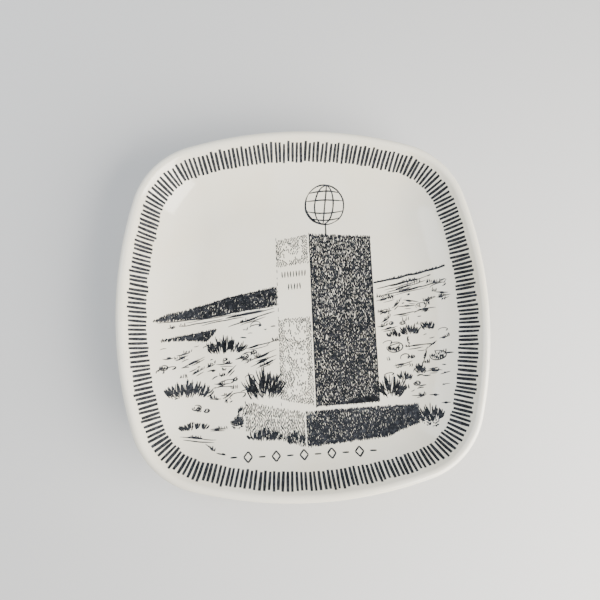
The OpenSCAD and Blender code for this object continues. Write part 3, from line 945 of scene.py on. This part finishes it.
class PLATE_OT_fells(bpy.types.Operator):
    """Draws the distant hill, the horizon, the lines of the ground and the small marks between them"""
    bl_idname = "plate.fells"
    bl_label = "Fells and ground"

    def execute(self, context):
        pens = context.scene.plate_pens
        hill = hatched("distant_hill_hatching", "distant_hill", Spacing=0.28 * MM, Length=2.2 * MM,
                       Slant=-0.2, Spread=0.12, Swirl=0.3, Seed=pens.seed + 31)
        hand_in(hill, "ink_dense", "distant_hill")
        pen = Pen(pens.seed + 35)
        for points in islands("distant_hill"):
            self.skyline(pen, points, pens.line)
        hand_in(pen.piece("hill_edge_ink"), "ink")
        pen = Pen(pens.seed + 32)
        for points in islands("horizon_line"):
            a, b = ends_of(points)
            pen.stroke([a, b], pens.line * 1.7, taper=0.8, wobble=0.5 * MM)
            self.far_scrub(pen, Vector(a), Vector(b), pens.line)
        hand_in(pen.piece("horizon_ink"), "ink", "horizon_line")
        pen = Pen(pens.seed + 33)
        for points in islands("ground_lines"):
            a, b = ends_of(points)
            self.ground_line(pen, Vector(a), Vector(b), pens.line)
        hand_in(pen.piece("ground_ink"), "ink", "ground_lines")
        pen = Pen(pens.seed + 34)
        self.scattered(pen, pens.line, pens.marks)
        hand_in(pen.piece("ground_marks_ink"), "ink")
        return {"FINISHED"}

    def skyline(self, pen, points, width):
        """A line along the top of a hill and a lighter one along its foot."""
        left = points[points[:, 0].argmin()]
        ends = points[points[:, 0] > points[:, 0].max() - MM / 10]
        across = ends.mean(0) - left
        above = (points - left) @ np.array((-across[1], across[0]))
        for chain, weight in ((points[above >= 0], 0.9), (points[above <= 0], 0.6)):
            chain = chain[chain[:, 0].argsort()]
            places = [chain[0]] + [b for a, b in zip(chain, chain[1:]) if b[0] - a[0] > MM / 2]
            if len(places) > 1:
                pen.stroke(places, width * weight, taper=0.4, wobble=0.3 * MM)

    def far_scrub(self, pen, a, b, width):
        """Tiny upright ticks along the horizon, closer together towards b."""
        for _ in range(70):
            t = pen.rng.random() ** 0.6
            foot = a.lerp(b, t)
            pen.stroke([foot, foot + Vector((0.2, pen.rng.uniform(0.5, 1.1))) * MM], width * 0.7, taper=0.4)

    def ground_line(self, pen, a, b, width):
        """A ground line has a heavy part, a lighter line below it, and here and there short grass."""
        rng = pen.rng
        length = (b - a).length
        along = (b - a) / length
        across = Vector((-along.y, along.x))
        goes = 1 if length < 18 * MM else 2
        for k in range(goes):
            start = a.lerp(b, (k + rng.uniform(0.0, 0.04)) / goes)
            end = a.lerp(b, (k + rng.uniform(0.9, 1.0)) / goes)
            pen.curve(start, end, rng.uniform(-0.4, 0.4) * MM, width * rng.uniform(0.7, 1.0), taper=0.3,
                      wobble=0.4 * MM)
        heavy = rng.uniform(0.1, 0.5)
        pen.curve(a.lerp(b, heavy), a.lerp(b, heavy + 0.4), 0.0, width * rng.uniform(1.4, 2.0), taper=0.15,
                  wobble=0.3 * MM)
        if length > 6 * MM:
            first, last = rng.uniform(0.0, 0.4), rng.uniform(0.6, 0.95)
            below = across * rng.uniform(-1.5, -0.9) * MM
            pen.curve(a.lerp(b, first) + below, a.lerp(b, last) + below, rng.uniform(-0.3, 0.3) * MM,
                      width * rng.uniform(0.5, 0.9), taper=0.2, wobble=0.4 * MM)
        if rng.random() < 0.6:
            first = rng.uniform(0.0, 0.6)
            for k in range(rng.randint(4, 9)):
                foot = a + along * min(length, first * length + k * rng.uniform(0.5, 0.75) * MM)
                blade = Vector((rng.uniform(-0.4, 0.5), rng.uniform(0.7, 1.8))) * MM
                pen.stroke([foot, foot + blade], width * rng.uniform(0.5, 0.8), taper=0.3)

    def scattered(self, pen, width, count):
        """Small boulders, dashes and sprigs over the open ground."""
        rng = pen.rng
        boxes = {node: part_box(node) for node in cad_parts}
        low, high = boxes["ground_lines"]
        drawn = 0
        while drawn < count:
            place = Vector((rng.uniform(low.x, high.x), rng.uniform(low.y, high.y)))
            if not self.is_open(rng, place, boxes):
                continue
            drawn += 1
            kind = rng.random()
            if kind < 0.16:
                self.boulder(pen, place, width)
            elif kind < 0.62:
                rise = math.radians(rng.gauss(12, 9))
                dash = Vector((math.cos(rise), math.sin(rise))) * rng.uniform(1.0, 4.5) * MM
                pen.curve(place, place + dash, rng.uniform(-0.3, 0.3) * MM, width * rng.uniform(0.5, 1.2),
                          taper=0.25)
            else:
                self.sprig(pen, place, width)

    def is_open(self, rng, place, boxes):
        """Whether a loose mark may stand at a place: on the ground, and clear of the border and the stone.

        The lower the place, the more often it is left bare."""
        x, y = place
        margin = 1.5 * MM
        low, high = boxes["ground_lines"]
        reach = boxes["border_strokes"][1].x - 11 * MM
        if (x / reach) ** 4 + (y / reach) ** 4 > 1:
            return False
        if x < boxes["pillar_light_face"][0].x:
            start, slope = boxes["distant_hill"][0], 0.18
        else:
            start, slope = boxes["horizon_line"][0], 0.16
        if y > start.y + (x - start.x) * slope - margin:
            return False
        if rng.random() < (low.y / 2 - y) / (high.y - low.y) * 4:
            return False
        for node in ("pillar_dark_face", "pillar_light_face", "plinth_dark_face", "plinth_light_face",
                     "ornament_row"):
            a, b = boxes[node]
            if a.x - margin < x < b.x + margin and a.y - margin < y < b.y + margin:
                return False
        return True

    def boulder(self, pen, place, width):
        """A low arch with a heavier stroke at its right foot."""
        rng = pen.rng
        size = Vector((rng.uniform(1.6, 4.2), rng.uniform(0.7, 1.5))) * MM
        pen.arc(place, size, rng.uniform(-15, 20), rng.uniform(160, 215), width * rng.uniform(0.6, 0.9),
                tilt=0.2, taper=0.25, wobble=0.5 * MM)
        pen.arc(place, size * 0.9, -60, 20, width * rng.uniform(0.9, 1.4), tilt=0.2, taper=0.25)

    def sprig(self, pen, place, width):
        """A few short blades side by side."""
        rng = pen.rng
        for k in range(rng.randint(3, 7)):
            foot = place + Vector((k * rng.uniform(0.35, 0.6), rng.uniform(-0.2, 0.2))) * MM
            blade = Vector((rng.gauss(0.1, 0.5), rng.uniform(0.8, 2.4))) * MM
            pen.stroke([foot, foot + blade], width * rng.uniform(0.5, 0.9), taper=0.3)


class PLATE_OT_growth(bpy.types.Operator):
    """Draws the tufts of grass, the scrub at the plinth's ends and the loose stones"""
    bl_idname = "plate.growth"
    bl_label = "Grass and stones"

    def execute(self, context):
        pens = context.scene.plate_pens
        pen = Pen(pens.seed + 41)
        for points in islands("grass_tufts"):
            self.tuft(pen, points.min(0), points.max(0), pens.line)
        hand_in(pen.piece("grass_tufts_ink"), "ink_dense", "grass_tufts")
        self.scrub(pens)
        pen = Pen(pens.seed + 42)
        for points in islands("stones"):
            self.stone(pen, points.min(0), points.max(0), pens.line)
        hand_in(pen.piece("stones_ink"), "ink_light", "stones")
        return {"FINISHED"}

    def scrub(self, pens):
        """Two dark bushes at the plinth's left end and a row of them that falls away from its right end."""
        pen = Pen(pens.seed + 43)
        left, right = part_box("plinth_light_face")[0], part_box("plinth_dark_face")[1]
        top = right.y - 3 * MM
        self.bush(pen, (left.x - 4 * MM, left.y + 11 * MM), 2.6 * MM, 70, pens.line)
        self.bush(pen, (left.x - 2 * MM, left.y + 16 * MM), 2.2 * MM, 36, pens.line)
        for k in range(6):
            self.bush(pen, (right.x + (1.6 * k - 3) * MM, top - 1.1 * k * MM), 2.6 * MM, 30, pens.line)
        hand_in(pen.piece("plinth_scrub_ink"), "ink_dense")

    def bush(self, pen, centre, radius, count, width):
        """A dark ball of short strokes that lean away from its middle."""
        for _ in range(count):
            angle, out = pen.rng.uniform(0, 2 * math.pi), radius * math.sqrt(pen.rng.random())
            heading = Vector((math.cos(angle), math.sin(angle)))
            foot = Vector(centre) + heading * out * 0.8
            tip = foot + (heading * 0.6 + Vector((0.1, 0.6))) * pen.rng.uniform(0.8, 2.2) * MM
            pen.stroke([foot, tip], width * pen.rng.uniform(0.7, 1.1), taper=0.3)

    def tuft(self, pen, low, high, width):
        """Blades that fan out from a tuft's foot, fine at both ends."""
        middle, wide, tall = (low[0] + high[0]) / 2, high[0] - low[0], high[1] - low[1]
        blades = int(wide / MM * (2.6 + tall / MM * 0.22)) + 10
        for _ in range(blades):
            place = pen.rng.uniform(-0.46, 0.46)
            rise = pen.rng.uniform(0, 0.55) * tall * (1 - abs(place))
            foot = Vector((middle + place * wide, low[1] + rise))
            lean = place * 1.3 + pen.rng.uniform(-0.35, 0.35)
            length = (tall * pen.rng.uniform(0.3, 0.65) + MM) * (1 - 0.5 * abs(place))
            tip = foot + Vector((math.sin(lean), math.cos(lean))) * length
            pen.curve(foot, tip, -lean * 0.12 * length, width * pen.rng.uniform(0.7, 1.2), taper=0.3)

    def stone(self, pen, low, high, width):
        """A flattened outline, open at the lit side, with short shading strokes on the other."""
        centre = (low + high) / 2
        across, up = (high[0] - low[0]) / 2, (high[1] - low[1]) / 2 * 0.62
        pen.arc(centre, (across, up), -200, 110, width, tilt=0.1, wobble=0.3 * MM)
        for _ in range(int((across / MM) ** 2 * 3.2)):
            place = pen.rng.uniform(-0.9, 0.6)
            x = centre[0] + place * across
            drop = up * math.sqrt(1 - place ** 2)
            start = Vector((x, centre[1] - drop * pen.rng.uniform(0.2, 0.95)))
            pen.stroke([start, start + Vector((0.3, pen.rng.uniform(0.6, 1.3))) * MM], width * 0.75)


class PLATE_OT_ornament(bpy.types.Operator):
    """Draws the row of lozenges and dashes at the foot of the picture"""
    bl_idname = "plate.ornament"
    bl_label = "Ornament row"

    def execute(self, context):
        pens = context.scene.plate_pens
        pen = Pen(pens.seed + 51)
        for points in islands("ornament_row"):
            low, high = points.min(0), points.max(0)
            centre, half = (low + high) / 2, (high - low) / 2
            if half[1] < MM:
                pen.stroke([(low[0], centre[1]), (high[0], centre[1])], pens.line * 1.2, taper=0.7)
                continue
            corners = [(low[0], centre[1]), (centre[0], high[1]), (high[0], centre[1]), (centre[0], low[1])]
            for a, b in zip(corners, corners[1:] + corners[:1]):
                pen.stroke([a, b], pens.line * 1.3, taper=0.8)
        hand_in(pen.piece("ornament_ink"), "ink", "ornament_row")
        return {"FINISHED"}


class PLATE_OT_stage(bpy.types.Operator):
    """Sets the pale table, the soft lights and the camera"""
    bl_idname = "plate.stage"
    bl_label = "Stage"

    def execute(self, context):
        scene = context.scene
        stage = scene.plate_stage
        self.table(scene)
        self.light(scene, "key", stage.key_at, 0.55, stage.key_watts, (1.0, 0.96, 0.9))
        self.light(scene, "fill", stage.fill_at, 0.7, stage.key_watts * 0.45, (0.86, 0.92, 1.0))
        world = bpy.data.worlds.new("room")
        world.use_nodes = True
        background = world.node_tree.nodes["Background"]
        background.inputs["Color"].default_value = (0.93, 0.95, 1.0, 1.0)
        background.inputs["Strength"].default_value = stage.sky
        scene.world = world
        self.camera(scene, stage)
        return {"FINISHED"}

    def table(self, scene):
        """A wide plain floor under the plate."""
        mesh = bpy.data.meshes.new("table")
        far = 3.0
        mesh.from_pydata([(-far, -far, 0), (far, -far, 0), (far, far, 0), (-far, far, 0)], [], [(0, 1, 2, 3)])
        table = bpy.data.objects.new("table", mesh)
        material, _, shader = new_material("table")
        shader.inputs["Base Color"].default_value = (*scene.plate_finishes.table, 1.0)
        shader.inputs["Roughness"].default_value = 0.7
        mesh.materials.append(material)
        scene.collection.objects.link(table)

    def light(self, scene, name, place, size, watts, colour):
        """A soft square light that faces the plate."""
        data = bpy.data.lights.new(name, "AREA")
        data.shape = "SQUARE"
        data.size = size
        data.energy = watts
        data.color = colour
        light = bpy.data.objects.new(name, data)
        light.location = place
        light.rotation_euler = (-Vector(place)).to_track_quat("-Z", "Y").to_euler()
        scene.collection.objects.link(light)

    def camera(self, scene, stage):
        """A camera nearly overhead, turned a little about its own view."""
        data = bpy.data.cameras.new("camera")
        data.lens = stage.lens
        data.clip_start = 0.01
        camera = bpy.data.objects.new("camera", data)
        forward = (Vector(stage.aim) - Vector(stage.camera_at)).normalized()
        top = Vector((math.sin(stage.roll), math.cos(stage.roll), 0.0))
        right = forward.cross(top).normalized()
        up = right.cross(forward)
        turn = Matrix((right, up, -forward)).transposed()
        camera.matrix_world = Matrix.Translation(stage.camera_at) @ turn.to_4x4()
        scene.collection.objects.link(camera)
        scene.camera = camera


STEPS = (PLATE_OT_glaze, PLATE_OT_clay, PLATE_OT_border, PLATE_OT_globe, PLATE_OT_pillar, PLATE_OT_plinth,
         PLATE_OT_fells, PLATE_OT_growth, PLATE_OT_ornament, PLATE_OT_stage)
GROUPS = {"plate_dish": DishSizes, "plate_pens": PenSizes, "plate_finishes": Finishes,
          "plate_stage": StageSizes}


class PLATE_PT_panel(bpy.types.Panel):
    """Lists the steps that build the plate"""
    bl_idname = "PLATE_PT_panel"
    bl_label = "Souvenir plate"
    bl_space_type = "VIEW_3D"
    bl_region_type = "UI"
    bl_category = "Plate"

    def draw(self, context):
        for step in STEPS:
            self.layout.operator(step.bl_idname)
        for name, group in GROUPS.items():
            box = self.layout.box()
            box.label(text=group.__name__)
            for prop in group.__annotations__:
                box.prop(getattr(context.scene, name), prop)


def register():
    for made in (*GROUPS.values(), *STEPS, PLATE_PT_panel):
        bpy.utils.register_class(made)
    for name, group in GROUPS.items():
        setattr(bpy.types.Scene, name, bpy.props.PointerProperty(type=group))


def unregister():
    for name in GROUPS:
        delattr(bpy.types.Scene, name)
    for made in reversed((*GROUPS.values(), *STEPS, PLATE_PT_panel)):
        bpy.utils.unregister_class(made)


def main():
    register()
    for step in STEPS:
        family, name = step.bl_idname.split(".")
        getattr(getattr(bpy.ops, family), name)()


if __name__ == "__main__":
    main()
